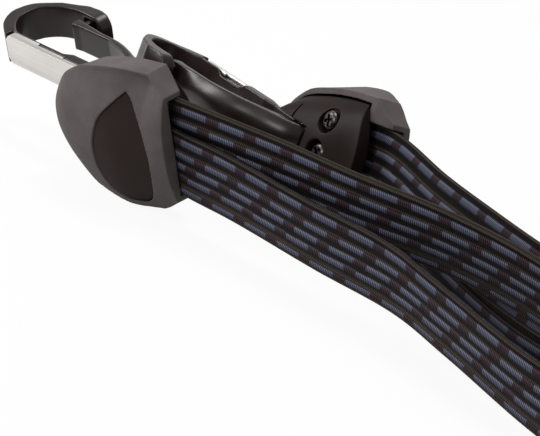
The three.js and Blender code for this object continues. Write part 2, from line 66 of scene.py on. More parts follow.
# Shell stations: x, rim half, rim, ridge half, ridge, front
NOSE_STATIONS = [
    (-45.5, 5.0, -1.4, 5.8, -9.4, -12),
    (-43.9, 7.6, -1.2, 8.7, -11.4, -14.6),
    (-38.7, 12.5, -1, 13.8, -12.9, -16.4),
    (-31, 15.7, -1, 18.4, -13.2, -16.8),
    (-20.5, 18.6, -1, 20.7, -12.2, -16.4),
    (-9, 20.6, -1, 20.4, -8.6, -13.2),
]
MOUTH_STATIONS = [
    (-9, 20.6, -1, 20.4, -8.6, -13.2),
    (-6.5, 18.6, -1.6, 19.0, -8.5, -12.9),
    (-4, 16.8, -2.4, 17.2, -8.6, -12.3),
    (-2, 15.9, -3.2, 15.7, -9.0, -11.4),
]

# Strap routes between the mouths: x, y, z, lean
UPPER_ROUTE = [
    (32, -3.8, 26.4, 22), (61, -2.8, 26.8, 25), (94, -1, 27.6, 28), (124, -3.2, 26.9, 26),
    (150, -8, 24, 18), (175, -14, 17, 12), (198, -17, 12, 6), (216, -12, 10.5, 4),
    (222, -2, 10.4, 3), (215, 8, 10.4, 3), (198, 11.5, 11.4, 3), (175, 8, 16, 3),
    (150, 3, 21.5, 4), (132, 3.4, 23.6, 5), (113, 6.8, 24.2, 6), (89, 14.8, 24.2, 7),
    (63, 24, 24.4, 8),
]
LOWER_ROUTE = [
    (18, -4.6, 17.1, 22), (53, -6.7, 16.2, 22), (83, -8, 15.7, 22), (105, -12.4, 13.9, 22),
    (143, -20.8, 10.7, 20), (165, -24.5, 10.4, 14), (190, -25, 10.4, 8), (210, -22, 10.4, 5),
    (224, -12, 10.4, 4), (229, -1, 10.4, 3), (222.5, 12.5, 10.4, 3), (204, 17, 10.4, 3),
    (180, 13.8, 10.4, 3), (160, 9.8, 10.4, 3), (138, 8.4, 10.4, 4), (113, 11.2, 10.5, 5),
    (89, 18.6, 11, 6), (63, 27.8, 13, 8),
]

# Where a strap lies in a fitting: x, and how far it is set off across the mouth
STRAP_SEATS = [(-23.5, 2.2), (-11.75, 3.2), (0, 4.2)]
UPPER_LAYER = -4.4
LOWER_LAYER = -6.5


def turn(axis, degrees):
    return Matrix.Rotation(math.radians(degrees), 4, axis)


# Places of the two fittings in the frame, from their own millimetres
PLACE = {
    "a": Matrix.Scale(MM, 4) @ Matrix.Translation(SEAT_A) @ turn("X", LEAN_A),
    "b": Matrix.Scale(MM, 4) @ Matrix.Translation(SEAT_B)
    @ turn("Z", TURN_B) @ turn("Y", LIFT_B) @ turn("X", 180 - LEAN_B),
}

# Camera at the photograph's angle: its place and directions, and its lens in the picture's pixels
CAMERA_PLACE = (0.53228, -0.49584, 0.2051)
CAMERA_RIGHT = (0.6623, 0.7259, 0.1853)
CAMERA_UP = (-0.3273, 0.0579, 0.9431)
CAMERA_AHEAD = (-0.6739, 0.6853, -0.2759)
FOCAL_PIXELS = 2716.9
PICTURE_WIDTH = 540
SENSOR_WIDTH = 36


def set_camera():
    data = bpy.data.cameras.new("camera")
    data.sensor_fit = "HORIZONTAL"
    data.sensor_width = SENSOR_WIDTH
    data.lens = FOCAL_PIXELS / PICTURE_WIDTH * SENSOR_WIDTH
    data.clip_start = 0.05
    data.clip_end = 20
    camera = bpy.data.objects.new("camera", data)
    bpy.context.collection.objects.link(camera)
    rows = (Vector(CAMERA_RIGHT), Vector(CAMERA_UP), -Vector(CAMERA_AHEAD))
    turned = Matrix(rows).transposed().to_4x4()
    camera.matrix_world = Matrix.Translation(CAMERA_PLACE) @ turned
    bpy.context.scene.camera = camera


set_camera()


def clamp(share):
    return min(max(share, 0), 1)


def smooth(share):
    share = clamp(share)
    return share * share * (3 - 2 * share)


# A curve through points in space, evenly tight whatever their distances
def centripetal(points, t):
    p = np.asarray(points, float)
    last = len(p) - 1
    place = min(max(t, 0.0), 1.0) * last
    i = min(int(place), last - 1)
    w = place - i
    p1, p2 = p[i], p[i + 1]
    p0 = p[i - 1] if i > 0 else 2 * p[0] - p[1]
    p3 = p[i + 2] if i + 2 <= last else 2 * p[last] - p[last - 1]
    spans = ((p0, p1), (p1, p2), (p2, p3))
    d0, d1, d2 = [max(np.sum((b - a) ** 2) ** 0.25, 1e-4) for a, b in spans]
    m1 = ((p1 - p0) / d0 - (p2 - p0) / (d0 + d1) + (p2 - p1) / d1) * d1
    m2 = ((p2 - p1) / d1 - (p3 - p1) / (d1 + d2) + (p3 - p2) / d2) * d1
    c2 = -3 * p1 + 3 * p2 - 2 * m1 - m2
    c3 = 2 * p1 - 2 * p2 + m1 + m2
    return p1 + m1 * w + c2 * w * w + c3 * w**3


# A curve through points of an outline, moved by x0 and y0
def spline(places, x0, y0, count):
    p = [np.array((x0 + x, y0 + y), float) for x, y in places]
    last = len(p) - 1
    out = []
    for k in range(count + 1):
        place = k / count * last
        i = min(int(place), last - 1)
        w = place - i
        p0, p1, p2, p3 = p[max(i - 1, 0)], p[i], p[i + 1], p[min(i + 2, last)]
        m1, m2 = (p2 - p0) / 2, (p3 - p1) / 2
        c2 = -3 * p1 + 3 * p2 - 2 * m1 - m2
        c3 = 2 * p1 - 2 * p2 + m1 + m2
        spot = c3 * w**3 + c2 * w**2 + m1 * w + p1
        out.append((float(spot[0]), float(spot[1])))
    return out


# Mesh helpers
def new_object(name, verts, faces):
    mesh = bpy.data.meshes.new(name)
    mesh.from_pydata([tuple(map(float, v)) for v in verts], [], faces)
    mesh.update()
    obj = bpy.data.objects.new(name, mesh)
    bpy.context.collection.objects.link(obj)
    return obj


def pick(obj):
    bpy.ops.object.select_all(action="DESELECT")
    obj.select_set(True)
    bpy.context.view_layer.objects.active = obj


def face_outward(obj):
    pick(obj)
    bpy.ops.object.mode_set(mode="EDIT")
    bpy.ops.mesh.select_all(action="SELECT")
    bpy.ops.mesh.normals_make_consistent(inside=False)
    bpy.ops.object.mode_set(mode="OBJECT")
    return obj


# A closed solid through rings of points
def loft(name, rings):
    n = len(rings[0])
    verts = [p for ring in rings for p in ring]
    faces = [tuple(range(n)), tuple((len(rings) - 1) * n + j for j in reversed(range(n)))]
    for i in range(len(rings) - 1):
        for j in range(n):
            k = (j + 1) % n
            faces.append((i * n + j, (i + 1) * n + j, (i + 1) * n + k, i * n + k))
    obj = face_outward(new_object(name, verts, faces))
    flat = obj.modifiers.new("flat", "TRIANGULATE")
    bpy.ops.object.modifier_apply(modifier=flat.name)
    return obj


# An outline in x and z, drawn out from one y to another
def column(name, outline, y0, y1):
    return loft(name, [[(x, y, z) for x, z in outline] for y in (y0, y1)])


def block(name, x0, x1, y0, y1, z0, z1):
    bpy.ops.object.select_all(action="DESELECT")
    middle = ((x0 + x1) / 2, (y0 + y1) / 2, (z0 + z1) / 2)
    bpy.ops.mesh.primitive_cube_add(size=1, location=middle, scale=(x1 - x0, y1 - y0, z1 - z0))
    obj = bpy.context.active_object
    obj.name = name
    bpy.ops.object.transform_apply(location=True, rotation=True, scale=True)
    return obj


def rod(name, spot, axis, radius, length):
    bpy.ops.object.select_all(action="DESELECT")
    spin = (math.pi / 2, 0, 0) if axis == "Y" else (0, 0, 0)
    bpy.ops.mesh.primitive_cylinder_add(
        vertices=64, radius=radius, depth=length, location=spot, rotation=spin)
    obj = bpy.context.active_object
    obj.name = name
    bpy.ops.object.transform_apply(location=True, rotation=True, scale=True)
    return obj


# Cut the tool out of a piece, or with another operation add it or keep what both share
def shape(obj, tool, operation="DIFFERENCE"):
    pick(obj)
    mod = obj.modifiers.new("shape", "BOOLEAN")
    mod.operation = operation
    mod.solver = "EXACT"
    mod.object = tool
    bpy.ops.object.modifier_apply(modifier=mod.name)
    bpy.data.objects.remove(tool, do_unlink=True)


# Moulded edges: an even skin, eased a little
def ease(obj, voxel, passes):
    pick(obj)
    skin = obj.modifiers.new("skin", "REMESH")
    skin.mode = "VOXEL"
    skin.voxel_size = voxel
    bpy.ops.object.modifier_apply(modifier=skin.name)
    soft = obj.modifiers.new("soft", "SMOOTH")
    soft.factor = 0.5
    soft.iterations = passes
    bpy.ops.object.modifier_apply(modifier=soft.name)
    bpy.ops.object.shade_smooth()


# A copy of a mesh at its place, standing for one node of the part
def seat_copy(base, place, node, body, material):
    mesh = base.copy()
    mesh.transform(place)
    mesh.materials.clear()
    mesh.materials.append(material)
    piece = bpy.data.objects.new(f"{node}_look", mesh)
    bpy.context.collection.objects.link(piece)
    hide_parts(node)
    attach(piece, body)


# One copy of a piece on each fitting
def seat_pair(obj, name, body, material):
    for end in "ab":
        seat_copy(obj.data, PLACE[end], f"{name}_{end}", body.format(end), material)
    bpy.data.objects.remove(obj, do_unlink=True)


# Node helpers for the finishes
class Finish:
    def __init__(self, name):
        self.material = bpy.data.materials.new(name)
        self.material.use_nodes = True
        self.tree = self.material.node_tree
        self.shader = self.tree.nodes["Principled BSDF"]

    def node(self, kind, **values):
        made = self.tree.nodes.new(kind)
        for key, value in values.items():
            setattr(made, key, value)
        return made

    def link(self, out, into):
        self.tree.links.new(out, into)

    def feed(self, socket, value):
        if isinstance(value, (int, float, tuple)):
            socket.default_value = value
        else:
            self.link(value, socket)

    def set(self, **values):
        for key, value in values.items():
            self.feed(self.shader.inputs[key.replace("_", " ")], value)

    def math(self, kind, a, b=0.0, c=0.0):
        made = self.node("ShaderNodeMath", operation=kind)
        for socket, value in zip(made.inputs, (a, b, c)):
            self.feed(socket, value)
        return made.outputs[0]

    def mix(self, share, a, b, blend="MIX"):
        made = self.node("ShaderNodeMix", data_type="RGBA", blend_type=blend)
        self.feed(made.inputs[0], share)
        self.feed(made.inputs[6], a)
        self.feed(made.inputs[7], b)
        return made.outputs[2]

    def ramp(self, value, stops, kind="LINEAR"):
        made = self.node("ShaderNodeValToRGB")
        made.color_ramp.interpolation = kind
        while len(made.color_ramp.elements) < len(stops):
            made.color_ramp.elements.new(0.5)
        for element, (place, colour) in zip(made.color_ramp.elements, stops):
            element.position = place
            element.color = (*colour, 1) if isinstance(colour, tuple) else (colour, colour, colour, 1)
        self.link(value, made.inputs[0])
        return made.outputs[0]

    def noise(self, vector, scale, detail):
        made = self.node("ShaderNodeTexNoise")
        made.inputs["Scale"].default_value = scale
        made.inputs["Detail"].default_value = detail
        made.inputs["Roughness"].default_value = 0.6
        self.link(vector, made.inputs["Vector"])
        return made.outputs["Fac"]

    def bump(self, height, strength, distance):
        made = self.node("ShaderNodeBump")
        made.inputs["Strength"].default_value = strength
        made.inputs["Distance"].default_value = distance
        self.link(height, made.inputs["Height"])
        self.link(made.outputs[0], self.shader.inputs["Normal"])


# Moulded nylon: a fine grain and faint clouds
CLOUD_SCALE = 140
GRAIN_SCALE = 3600
GRAIN_DEPTH = 0.00012


def moulded(name, dark, light, rough, grain, specular):
    f = Finish(name)
    at = f.node("ShaderNodeTexCoord").outputs["Object"]
    cloud = f.noise(at, scale=CLOUD_SCALE, detail=4)
    fine = f.noise(at, scale=GRAIN_SCALE, detail=2)
    clouded = f.ramp(cloud, [(0.3, dark), (0.72, light)])
    tone = f.math("MULTIPLY_ADD", fine, grain, 1 - 0.5 * grain)
    spread = f.math("MULTIPLY_ADD", fine, 0.16, rough - 0.08)
    spread = f.math("MULTIPLY_ADD", cloud, 0.1, f.math("SUBTRACT", spread, 0.05))
    f.set(Base_Color=f.mix(1.0, clouded, tone, "MULTIPLY"), Roughness=spread, Specular_IOR_Level=specular)
    f.bump(f.math("MULTIPLY_ADD", cloud, 0.15, fine), grain, GRAIN_DEPTH)
    return f.material


# Brushed metal, with its brush lines along the strip
BRUSH_STRETCH = (30, 2600, 2600)
BRUSH_DEPTH = 0.00005


def brushed(name, tone, rough):
    f = Finish(name)
    at = f.node("ShaderNodeTexCoord").outputs["Object"]
    stretch = f.node("ShaderNodeMapping")
    stretch.inputs["Scale"].default_value = BRUSH_STRETCH
    f.link(at, stretch.inputs["Vector"])
    lines = f.noise(stretch.outputs[0], scale=1.0, detail=3)
    cloud = f.noise(at, scale=90, detail=3)
    worn = f.math("MULTIPLY_ADD", lines, 0.6, f.math("MULTIPLY", cloud, 0.4))
    dim = tuple(0.8 * c for c in tone)
    spread = f.math("MULTIPLY_ADD", lines, 0.22, rough - 0.1)
    f.set(Base_Color=f.ramp(worn, [(0.3, dim), (0.7, tone)]), Metallic=1.0, Roughness=spread)
    f.bump(lines, strength=0.18, distance=BRUSH_DEPTH)
    return f.material


# Yarns of the woven elastic; the palest blue and the lighter plum are a painted highlight on the rib tops,
# and the darkest is painted shade on the ribs' lower sides
TAN = (0.058, 0.045, 0.034)
TOOTH = (0.011, 0.008, 0.007)
BROWN = (0.010, 0.007, 0.006)
# Painted shade on the ribs' lower sides
RIB_UNDER_SHADE = (0.003, 0.002, 0.002)
# Painted highlight on the rib tops
RIB_TOP_HIGHLIGHT = (0.128, 0.131, 0.168)
BLUE = (0.059, 0.064, 0.100)
GAP_TOP_HIGHLIGHT = (0.054, 0.035, 0.043)
WINE = (0.025, 0.014, 0.018)

# Rows across the strap, from its upper edge: share of the width, the yarn in a dash and between dashes. The
# top of each rib carries a painted highlight and its lower side painted shade
YARN_ROWS = [
    (0.0, TOOTH, TOOTH), (0.014, TAN, TAN), (0.024, TOOTH, TOOTH), (0.085, RIB_UNDER_SHADE, RIB_UNDER_SHADE),
    (0.105, RIB_TOP_HIGHLIGHT, GAP_TOP_HIGHLIGHT), (0.13, BLUE, WINE), (0.152, BLUE, WINE), (0.195, RIB_UNDER_SHADE, RIB_UNDER_SHADE),
    (0.268, BROWN, BROWN), (0.286, TAN, TAN), (0.304, RIB_UNDER_SHADE, RIB_UNDER_SHADE),
    (0.335, RIB_TOP_HIGHLIGHT, GAP_TOP_HIGHLIGHT), (0.355, BLUE, WINE), (0.368, BLUE, WINE), (0.405, RIB_UNDER_SHADE, RIB_UNDER_SHADE),
    (0.475, BROWN, BROWN),
    (0.515, RIB_TOP_HIGHLIGHT, GAP_TOP_HIGHLIGHT), (0.535, BLUE, WINE), (0.548, BLUE, WINE), (0.585, RIB_UNDER_SHADE, RIB_UNDER_SHADE),
    (0.655, BROWN, BROWN),
    (0.695, RIB_TOP_HIGHLIGHT, GAP_TOP_HIGHLIGHT), (0.715, BLUE, WINE), (0.728, BLUE, WINE), (0.765, RIB_UNDER_SHADE, RIB_UNDER_SHADE),
    (0.856, TAN, TAN), (0.872, RIB_UNDER_SHADE, RIB_UNDER_SHADE),
    (0.892, RIB_TOP_HIGHLIGHT, GAP_TOP_HIGHLIGHT), (0.908, BLUE, WINE), (0.935, BLUE, WINE), (0.96, RIB_UNDER_SHADE, RIB_UNDER_SHADE),
    (0.985, TAN, TAN),
]

# Dashes along the strap, in tens of millimetres, and how far each group of rows is put off
DASH_PITCH = 1.36
DASH_START = 0.01
DASH_STOP = 0.67
DASH_FADE = 0.04
DASH_WOBBLE = 0.12
DASH_OFFSETS = [(0.0, 0.0), (0.28, 0.31), (0.5, 0.62), (0.68, 0.93), (0.85, 0.24)]
CROSS_YARNS = 15.6
YARN_SLANT = 5.0
YARN_DEPTH = 0.00025


# Woven elastic: dashed rows on raised ribs, tan lines, a toothed edge and fine cross yarns, with a painted
# highlight on the rib tops, painted shade on their lower sides, and cross yarns painted lighter and darker
# as their relief would be lit.
# The UV map holds the share across the strap from its upper edge, and tens of millimetres along it.
def woven(name):
    f = Finish(name)
    uv = f.node("ShaderNodeUVMap", uv_map="weave").outputs[0]
    parts = f.node("ShaderNodeSeparateXYZ")
    f.link(uv, parts.inputs[0])
    across, along = parts.outputs[0], parts.outputs[1]
    dash = f.ramp(across, [(place, yarn) for place, yarn, between in YARN_ROWS])
    gap = f.ramp(across, [(place, between) for place, yarn, between in YARN_ROWS])
    offset = f.ramp(across, DASH_OFFSETS, "CONSTANT")
    wobble = f.noise(uv, scale=9, detail=2)
    shifted = f.math("MULTIPLY_ADD", wobble, DASH_WOBBLE, offset)
    lay = f.math("FRACT", f.math("MULTIPLY_ADD", along, 1 / DASH_PITCH, shifted))
    edges = []
    for low in (DASH_START, DASH_STOP):
        edge = f.node("ShaderNodeMapRange", interpolation_type="SMOOTHSTEP")
        f.link(lay, edge.inputs["Value"])
        edge.inputs["From Min"].default_value = low
        edge.inputs["From Max"].default_value = low + DASH_FADE
        edges.append(edge.outputs[0])
    colour = f.mix(f.math("SUBTRACT", *edges), gap, dash)
    # The cross yarns are painted lighter and darker in the colour, as painted light and shade of their
    # relief, besides the bump; the fuzz is a random tone
    turns = f.math("MULTIPLY", along, 2 * math.pi * CROSS_YARNS)
    yarn = f.math("SINE", f.math("MULTIPLY_ADD", across, YARN_SLANT, turns))
    fuzz = f.noise(uv, scale=120, detail=3)
    tone = f.math("MULTIPLY_ADD", yarn, 0.6, 0.86)
    shade = f.math("MULTIPLY", tone, f.math("MULTIPLY_ADD", fuzz, 1.7, 0.15))
    f.set(Base_Color=f.mix(1.0, colour, shade, "MULTIPLY"), Roughness=0.75, Specular_IOR_Level=0.08)
    height = f.math("MULTIPLY_ADD", yarn, 0.6, f.math("MULTIPLY", fuzz, 0.5))
    f.bump(height, strength=0.6, distance=YARN_DEPTH)
    return f.material


STRAP_FINISH = woven("woven_elastic")
SHELL_FINISH = moulded(
    "shell_matt", dark=(0.065, 0.0545, 0.0535), light=(0.0895, 0.0765, 0.0755),
    rough=0.72, grain=0.5, specular=0.15)
PANEL_FINISH = moulded(
    "panel_dark", dark=(0.017, 0.0105, 0.0095), light=(0.021, 0.0135, 0.012),
    rough=0.65, grain=0.15, specular=0.1)
COVER_FINISH = moulded(
    "cover_satin", dark=(0.010, 0.0062, 0.0052), light=(0.013, 0.0081, 0.007),
    rough=0.45, grain=0.12, specular=0.07)
NYLON_FINISH = moulded(
    "hook_satin", dark=(0.011, 0.0062, 0.0054), light=(0.016, 0.0096, 0.0086),
    rough=0.31, grain=0.08, specular=0.3)
SCREW_FINISH = brushed("screw_dark", tone=(0.055, 0.05, 0.047), rough=0.3)
STEEL_FINISH = brushed("steel_bright", tone=(0.78, 0.745, 0.715), rough=0.34)

# Ribs across the strap: each from one share of the width to the next
RIBS = [0, 0.03, 0.09, 0.26, 0.315, 0.5, 0.68, 0.85, 0.88, 0.975, 1.0]
RIB_HEIGHT = 0.5
RIB_ROUND = 0.7
RIB_STEP = 0.022
STRAP_EDGE = 0.12
STRAP_STEP = 1.1
STEP_AHEAD = 0.4
WEAVE_START = 2.9
WEAVE_UNIT = 10
WEAVE_WRAP = 1.0001
ROUTE_POINTS = 4001


def strap_path(route, layer, side):
    seats = []
    for x, off in STRAP_SEATS:
        seats.append((*(PLACE["a"] @ Vector((x, layer, side * off)) / MM), LEAN_A))
    for x, y, z, lean in route:
        seats.append((x + ROUTE_SHIFT[0], y + ROUTE_SHIFT[1], z + ROUTE_SHIFT[2], lean))
    for x, off in reversed(STRAP_SEATS):
        seats.append((*(PLACE["b"] @ Vector((x, layer, -side * off)) / MM), LEAN_B))
    spots = [s[:3] for s in seats]
    leans = [(s[3], 0, 0) for s in seats]
    fine = np.linspace(0, 1, ROUTE_POINTS)
    line = np.array([centripetal(spots, t) for t in fine])
    lean = np.array([centripetal(leans, t)[0] for t in fine])
    run = np.concatenate([[0], np.cumsum(np.linalg.norm(np.diff(line, axis=0), axis=1))])
    return line, lean, run


def spot_at(d, line, run):
    return np.array([np.interp(d, run, line[:, c]) for c in range(3)])


def rib_height(share):
    for a, b in zip(RIBS, RIBS[1:]):
        if a <= share <= b:
            return max(math.sin(math.pi * (share - a) / (b - a)), 0) ** RIB_ROUND
    return 0.0


# Shares of the width where the strap has points, and half its thickness there
def strap_section():
    shares = []
    for a, b in zip(RIBS, RIBS[1:]):
        pieces = max(2, int((b - a) / RIB_STEP))
        shares += [a + (b - a) * k / pieces for k in range(pieces)]
    shares = np.array(shares + [1.0])
    half = STRAP_THICKNESS / 2
    relief = half - RIB_HEIGHT + RIB_HEIGHT * np.array([rib_height(s) for s in shares])
    relief[0] = relief[-1] = STRAP_EDGE
    return shares, relief


# Faces between rings of n points on the front and n on the back, with both ends closed
def strap_faces(count, n):
    faces = []
    ring = 2 * n
    for k in range(count):
        a, b = k * ring, (k + 1) * ring
        for j in range(n - 1):
            faces.append((a + j, a + j + 1, b + j + 1, b + j))
            faces.append((a + n + j + 1, a + n + j, b + n + j, b + n + j + 1))
        faces.append((a, b, b + n, a + n))
        faces.append((b + n - 1, a + n - 1, a + ring - 1, b + ring - 1))
    for k in (0, count):
        a = k * ring
        for j in range(n - 1):
            faces.append((a + j, a + j + 1, a + n + j + 1, a + n + j))
    return faces


# A flat strap with raised ribs on both faces, along its route
def woven_strap(name, route, layer, side, back_shift):
    line, lean, run = strap_path(route, layer, side)
    shares, relief = strap_section()
    length = run[-1]
    count = int(length / STRAP_STEP)
    verts, uvs = [], []
    for k in range(count + 1):
        d = length * k / count
        spot = spot_at(d, line, run)
        step = spot_at(min(d + STEP_AHEAD, length), line, run) - spot_at(max(d - STEP_AHEAD, 0), line, run)
        ahead = step / np.linalg.norm(step)
        up = np.array((0, 0, 1)) - ahead * ahead[2]
        up /= np.linalg.norm(up)
        side_way = np.cross(ahead, up)
        angle = math.radians(np.interp(d, run, lean))
        wide = up * math.cos(angle) + side_way * math.sin(angle)
        thick = np.cross(ahead, wide)
        for sign, shift in ((1, 0), (-1, back_shift)):
            for s, h in zip(shares, relief):
                verts.append((spot + wide * (0.5 - s) * STRAP_WIDTH + thick * sign * h) * MM)
                uvs.append(((s + shift) % WEAVE_WRAP, (d + WEAVE_START) / WEAVE_UNIT))
    obj = new_object(name, verts, strap_faces(count, len(shares)))
    weave = obj.data.uv_layers.new(name="weave")
    for loop in obj.data.loops:
        weave.data[loop.index].uv = uvs[loop.vertex_index]
    face_outward(obj)
    bpy.ops.object.shade_smooth()
    obj.data.materials.append(STRAP_FINISH)
    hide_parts(name)
    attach(obj, "bungee")
    obj.name = f"{name}_look"


woven_strap("strap_upper", UPPER_ROUTE, UPPER_LAYER, side=1, back_shift=0.0)
woven_strap("strap_lower", LOWER_ROUTE, LOWER_LAYER, side=-1, back_shift=-0.25)


# The shell's stations, fine enough for its rings
NOSE_RINGS = 48
MOUTH_RINGS = 16


def fine_stations():
    rows = []
    for stations, steps in ((NOSE_STATIONS, NOSE_RINGS), (MOUTH_STATIONS, MOUTH_RINGS)):
        first = [s[:3] for s in stations]
        second = [s[3:] for s in stations]
        shares = [i / steps for i in range(steps + 1)]
        part = [(*centripetal(first, t), *centripetal(second, t)) for t in shares]
        rows += part if not rows else part[1:]
    return np.array(rows)


STATIONS = fine_stations()
STATION_ROOM = 0.4
ACROSS = np.linspace(-1, 1, 49)


def station_at(x):
    return np.array([np.interp(x, STATIONS[:, 0], STATIONS[:, c]) for c in range(6)])


def station_span(start, stop):
    inner = [s for s in STATIONS if start + STATION_ROOM < s[0] < stop - STATION_ROOM]
    return [station_at(start), *inner, station_at(stop)]


# The front's rise over the ridge, with a hollow brow under the upper ridge near the apex
DOME_POWER = 2.5
BROW_DEPTH = 0.55
BROW_PLACE = 0.88
BROW_ABOVE = 0.1
BROW_BELOW = 0.3
BROW_START, BROW_GROW = -40, 26
BROW_END, BROW_FADE = -3, 6


def dome_rise(x, u):
    near = clamp((x - BROW_START) / BROW_GROW) * clamp((BROW_END - x) / BROW_FADE)
    width = BROW_ABOVE if u > BROW_PLACE else BROW_BELOW
    brow = math.exp(-((u - BROW_PLACE) / width) ** 2)
    return 1 - abs(u) ** DOME_POWER - BROW_DEPTH * near * brow


# The shell's form, or one set in by a wall and a sink and drawn out over the rim
def dome(name, rows, wall=0, sink=0, over=0):
    rings = []
    for x, rim_half, rim, ridge_half, ridge, face in rows:
        front, base = face + sink, ridge + wall
        ring = [(x, rim + over, -(rim_half - wall))]
        for u in ACROSS:
            ring.append((x, base + (front - base) * dome_rise(x, u), u * (ridge_half - wall)))
        ring.append((x, rim + over, rim_half - wall))
        rings.append(ring)
    return loft(name, rings)


# Leaf in the front: its outline as x and z, round from the upper tip
LEAF_NOSE_SIDE = [
    (-14.8, 14.9), (-18.4, 11.2), (-23, 5.9), (-26, -0.9), (-26.8, -6.4), (-26.2, -12),
    (-23.8, -16.6), (-18.8, -19.2), (-13.4, -19.0),
]
LEAF_MOUTH_SIDE = [
    (-13.4, -19.0), (-10.2, -16), (-8, -10), (-7.2, -3.9), (-7.9, 2.5), (-9.6, 8),
    (-12, 12.2), (-14.8, 14.9),
]
LEAF_NOSE_STEPS = 64
LEAF_MOUTH_STEPS = 56
LEAF_MIDDLE = (-16.5, -2)
LEAF_REACH = 11
LEAF_BACK = -3.5
LEAF_EDGE = 0.35
LEAF_FALL = 1.5
LEAF_START, LEAF_RUN = -27, 19
LEAF_POWER = 1.3
RECESS_DEPTH = 1.5
PANEL_THICKNESS = 1.3
PANEL_INSET = 0.15
FLOOR_MARGIN = 1


def leaf_column(name, inset=0):
    outline = spline(LEAF_NOSE_SIDE, 0, 0, LEAF_NOSE_STEPS)[:-1]
    outline += spline(LEAF_MOUTH_SIDE, 0, 0, LEAF_MOUTH_STEPS)[:-1]
    shrink = 1 - inset / LEAF_REACH
    mx, mz = LEAF_MIDDLE
    outline = [(mx + (x - mx) * shrink, mz + (z - mz) * shrink) for x, z in outline]
    return column(name, outline, -CLEAR, LEAF_BACK)


# The leaf's face goes deeper toward the mouth
def leaf_sink(x):
    return LEAF_EDGE + LEAF_FALL * clamp((x - LEAF_START) / LEAF_RUN) ** LEAF_POWER


def leaf_floor(name, below):
    rings = []
    for x, rim_half, rim, ridge_half, ridge, front in STATIONS:
        ring = [(x, rim, -rim_half - FLOOR_MARGIN)]
        for u in ACROSS:
            face = ridge + (front - ridge) * dome_rise(x, u)
            ring.append((x, face + leaf_sink(x) + below, u * (ridge_half + FLOOR_MARGIN)))
        ring.append((x, rim, rim_half + FLOOR_MARGIN))
        rings.append(ring)
    return loft(name, rings)


# Front shell with its dome, strap mouth and leaf recess
SHELL_WALL = 2
FRONT_WALL = 4
HOLLOW_NOSE, HOLLOW_MOUTH = -43.3, -11
HOLLOW_OVER = 0.5
SLOT_NOSE, SLOT_NOSE_HALF = -24, 12.5
SLOT_MOUTH, SLOT_MOUTH_HALF = 45.5, 18.37


def make_shell():
    body = dome("shell", STATIONS)
    shape(body, dome("hollow", station_span(HOLLOW_NOSE, HOLLOW_MOUTH), SHELL_WALL, FRONT_WALL, HOLLOW_OVER))
    slot = [
        (SLOT_NOSE, SLOT_NOSE_HALF), (SLOT_MOUTH, SLOT_MOUTH_HALF),
        (SLOT_MOUTH, -SLOT_MOUTH_HALF), (SLOT_NOSE, -SLOT_NOSE_HALF),
    ]
    shape(body, column("slot", slot, STRAP_FRONT - GAP, CLEAR))
    recess = leaf_column("recess")
    shape(recess, leaf_floor("floor", RECESS_DEPTH))
    shape(body, recess)
    ease(body, voxel=0.25, passes=2)
    seat_pair(body, "front_shell", "bungee", SHELL_FINISH)


def make_panel():
    body = leaf_column("panel", PANEL_INSET)
    shape(body, leaf_floor("face", 0), "INTERSECT")
    shape(body, leaf_floor("floor", PANEL_THICKNESS))
    ease(body, voxel=0.2, passes=3)
    seat_pair(body, "inset_panel", "bungee", PANEL_FINISH)


# Back cover inside the shell's rim, crowned, falling toward a curved edge at the mouth
COVER_NOSE, COVER_MOUTH = -44, -2
COVER_RINGS = 71
COVER_WIDEST = -9.5
COVER_MARGIN = 2.5
COVER_EDGE = -0.7
COVER_CROWN = 6.1
COVER_POWER = 3.2
COVER_FALL = 2.3
FALL_START, FALL_RUN = -20, 15
COVER_FOOT = -3
FOOT_RISE = 1.9
FOOT_START, FOOT_RUN = -16, 3
MOUTH_EDGE = -4.8
MOUTH_BOW = 3.8
MOUTH_HALF = 13
MOUTH_REACH = 24
MOUTH_CUT_END = 30
MOUTH_CUT_HALF = 20
GATE_WAY_END, GATE_WAY_HALF = -26.1, 4.7
SEAM_START, SEAM_STOP = -34.2, -33.7
SEAM_FLOOR, SEAM_TOP = 2.6, 9
SEAM_INNER, SEAM_OUTER = 4, 22
SCREW_SEAT_RADIUS = 3.6
SCREW_HOLE_RADIUS = 1.8
BORE_LENGTH = 40


